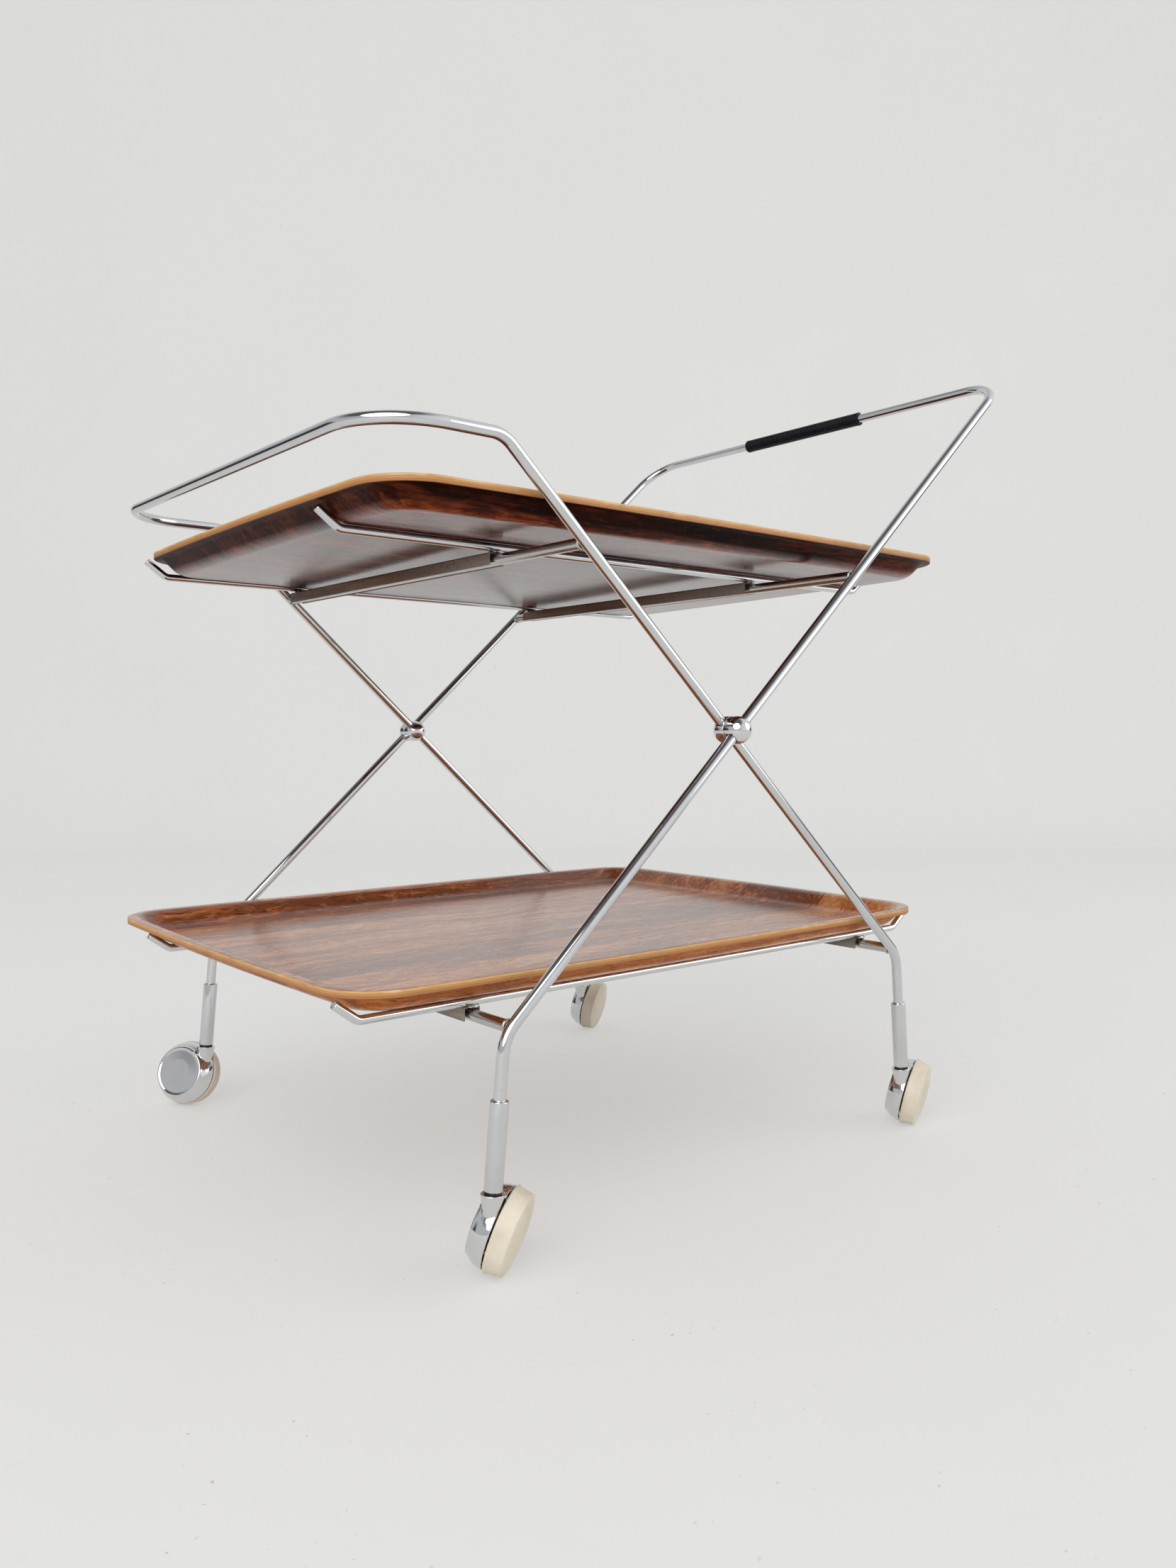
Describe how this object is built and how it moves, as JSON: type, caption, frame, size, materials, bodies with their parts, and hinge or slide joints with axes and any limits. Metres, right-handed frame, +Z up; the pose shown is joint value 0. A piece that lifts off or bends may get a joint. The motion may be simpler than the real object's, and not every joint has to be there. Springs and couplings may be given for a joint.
{
  "type": "folding serving cart",
  "caption": "Folding serving cart: two crossed chrome rod frames hold wire carriers with lift-off moulded wood trays, a push handle with a ribbed grip, and hooded swivel casters.",
  "frame": {"origin": "centre of the footprint box, on the floor under the wheels", "axes": "+X along the length towards the push handle, +Y across towards the far side, +Z up"},
  "size_m": [0.6458, 0.5084, 0.6512],
  "materials": {
    "chrome": "polished",
    "zinc_steel": "satin",
    "rosewood_veneer": "satin",
    "black_rubber": "matte",
    "ivory_plastic": "matte",
    "dark_steel": "satin"
  },
  "bodies": {
    "frame_a": {"frame_a_rod": "chrome", "cross_rod_a_top": "chrome", "cross_rod_a_bottom": "chrome", "ball_outer_near": "chrome", "ball_outer_far": "chrome", "pivot_pin_near": "dark_steel", "pivot_pin_far": "dark_steel", "handle_grip": "black_rubber", "sleeve_a_near": "chrome", "sleeve_a_far": "chrome"},
    "frame_b": {"frame_b_rod": "chrome", "cross_rod_b_top": "chrome", "cross_rod_b_bottom": "chrome", "ball_inner_near": "chrome", "ball_inner_far": "chrome", "sleeve_b_near": "chrome", "sleeve_b_far": "chrome"},
    "upper_carrier": {"upper_channel_left": "zinc_steel", "upper_channel_right": "zinc_steel", "upper_rail_near": "chrome", "upper_rail_far": "chrome"},
    "upper_tray_body": {"upper_tray": "rosewood_veneer"},
    "lower_carrier": {"lower_channel_left": "zinc_steel", "lower_channel_right": "zinc_steel", "lower_rail_near": "chrome", "lower_rail_far": "chrome"},
    "lower_tray_body": {"lower_tray": "rosewood_veneer"},
    "caster_a_near": {"caster_hood_a_near": "chrome", "caster_stem_a_near": "dark_steel", "caster_axle_a_near": "dark_steel", "swivel_washer_a_near": "dark_steel"},
    "wheel_a_near": {"caster_wheel_a_near": "ivory_plastic"},
    "caster_a_far": {"caster_hood_a_far": "chrome", "caster_stem_a_far": "dark_steel", "caster_axle_a_far": "dark_steel", "swivel_washer_a_far": "dark_steel"},
    "wheel_a_far": {"caster_wheel_a_far": "ivory_plastic"},
    "caster_b_near": {"caster_hood_b_near": "chrome", "caster_stem_b_near": "dark_steel", "caster_axle_b_near": "dark_steel", "swivel_washer_b_near": "dark_steel"},
    "wheel_b_near": {"caster_wheel_b_near": "ivory_plastic"},
    "caster_b_far": {"caster_hood_b_far": "chrome", "caster_stem_b_far": "dark_steel", "caster_axle_b_far": "dark_steel", "swivel_washer_b_far": "dark_steel"},
    "wheel_b_far": {"caster_wheel_b_far": "ivory_plastic"}
  },
  "joints": [
    {"name": "frame_fold", "type": "hinge", "parent": "frame_a", "child": "frame_b", "pos_m": [-0.02088, -0.01411, 0.3375], "axis": [0, 1, 0], "range_deg": [0, 50]},
    {"name": "upper_carrier_turn", "type": "hinge", "parent": "frame_b", "child": "upper_carrier", "pos_m": [-0.15288, -0.01411, 0.45782], "axis": [0, -1, 0], "range_deg": [0, 115]},
    {"name": "lower_carrier_turn", "type": "hinge", "parent": "frame_a", "child": "lower_carrier", "pos_m": [-0.22037, -0.01411, 0.15565], "axis": [0, -1, 0], "range_deg": [0, 23]},
    {"name": "upper_tray_lift", "type": "slide", "parent": "upper_carrier", "child": "upper_tray_body", "axis": [0, 0, 1], "range_m": [0, 0.04]},
    {"name": "lower_tray_lift", "type": "slide", "parent": "lower_carrier", "child": "lower_tray_body", "axis": [0, 0, 1], "range_m": [0, 0.04]},
    {"name": "caster_swivel_a_near", "type": "hinge", "parent": "frame_a", "child": "caster_a_near", "pos_m": [-0.23448, -0.23811, 0.05785], "axis": [0.0924, 0, 0.9957], "continuous": true},
    {"name": "wheel_spin_a_near", "type": "hinge", "parent": "caster_a_near", "child": "wheel_a_near", "pos_m": [-0.21851, -0.23294, 0.02644], "axis": [0.5682, -0.7612, -0.3126], "continuous": true},
    {"name": "caster_swivel_a_far", "type": "hinge", "parent": "frame_a", "child": "caster_a_far", "pos_m": [-0.23467, 0.20989, 0.05576], "axis": [0.0924, 0, 0.9957], "continuous": true},
    {"name": "wheel_spin_a_far", "type": "hinge", "parent": "caster_a_far", "child": "wheel_a_far", "pos_m": [-0.24093, 0.22907, 0.02641], "axis": [0.7827, 0.5261, -0.3325], "continuous": true},
    {"name": "caster_swivel_b_near", "type": "hinge", "parent": "frame_b", "child": "caster_b_near", "pos_m": [0.19305, -0.22761, 0.05445], "axis": [-0.0924, 0, 0.9957], "continuous": true},
    {"name": "wheel_spin_b_near", "type": "hinge", "parent": "caster_b_near", "child": "wheel_b_near", "pos_m": [0.21521, -0.22714, 0.02657], "axis": [0.4151, -0.8824, -0.2214], "continuous": true},
    {"name": "caster_swivel_b_far", "type": "hinge", "parent": "frame_b", "child": "caster_b_far", "pos_m": [0.19304, 0.19939, 0.05448], "axis": [-0.0924, 0, 0.9957], "continuous": true},
    {"name": "wheel_spin_b_far", "type": "hinge", "parent": "caster_b_far", "child": "wheel_b_far", "pos_m": [0.21501, 0.20223, 0.02659], "axis": [0.5193, -0.828, -0.2118], "continuous": true}
  ],
  "couplings": [
    {"joint": "upper_carrier_turn", "follows": "frame_fold", "ratio": 2.3},
    {"joint": "lower_carrier_turn", "follows": "frame_fold", "ratio": 0.46}
  ]
}
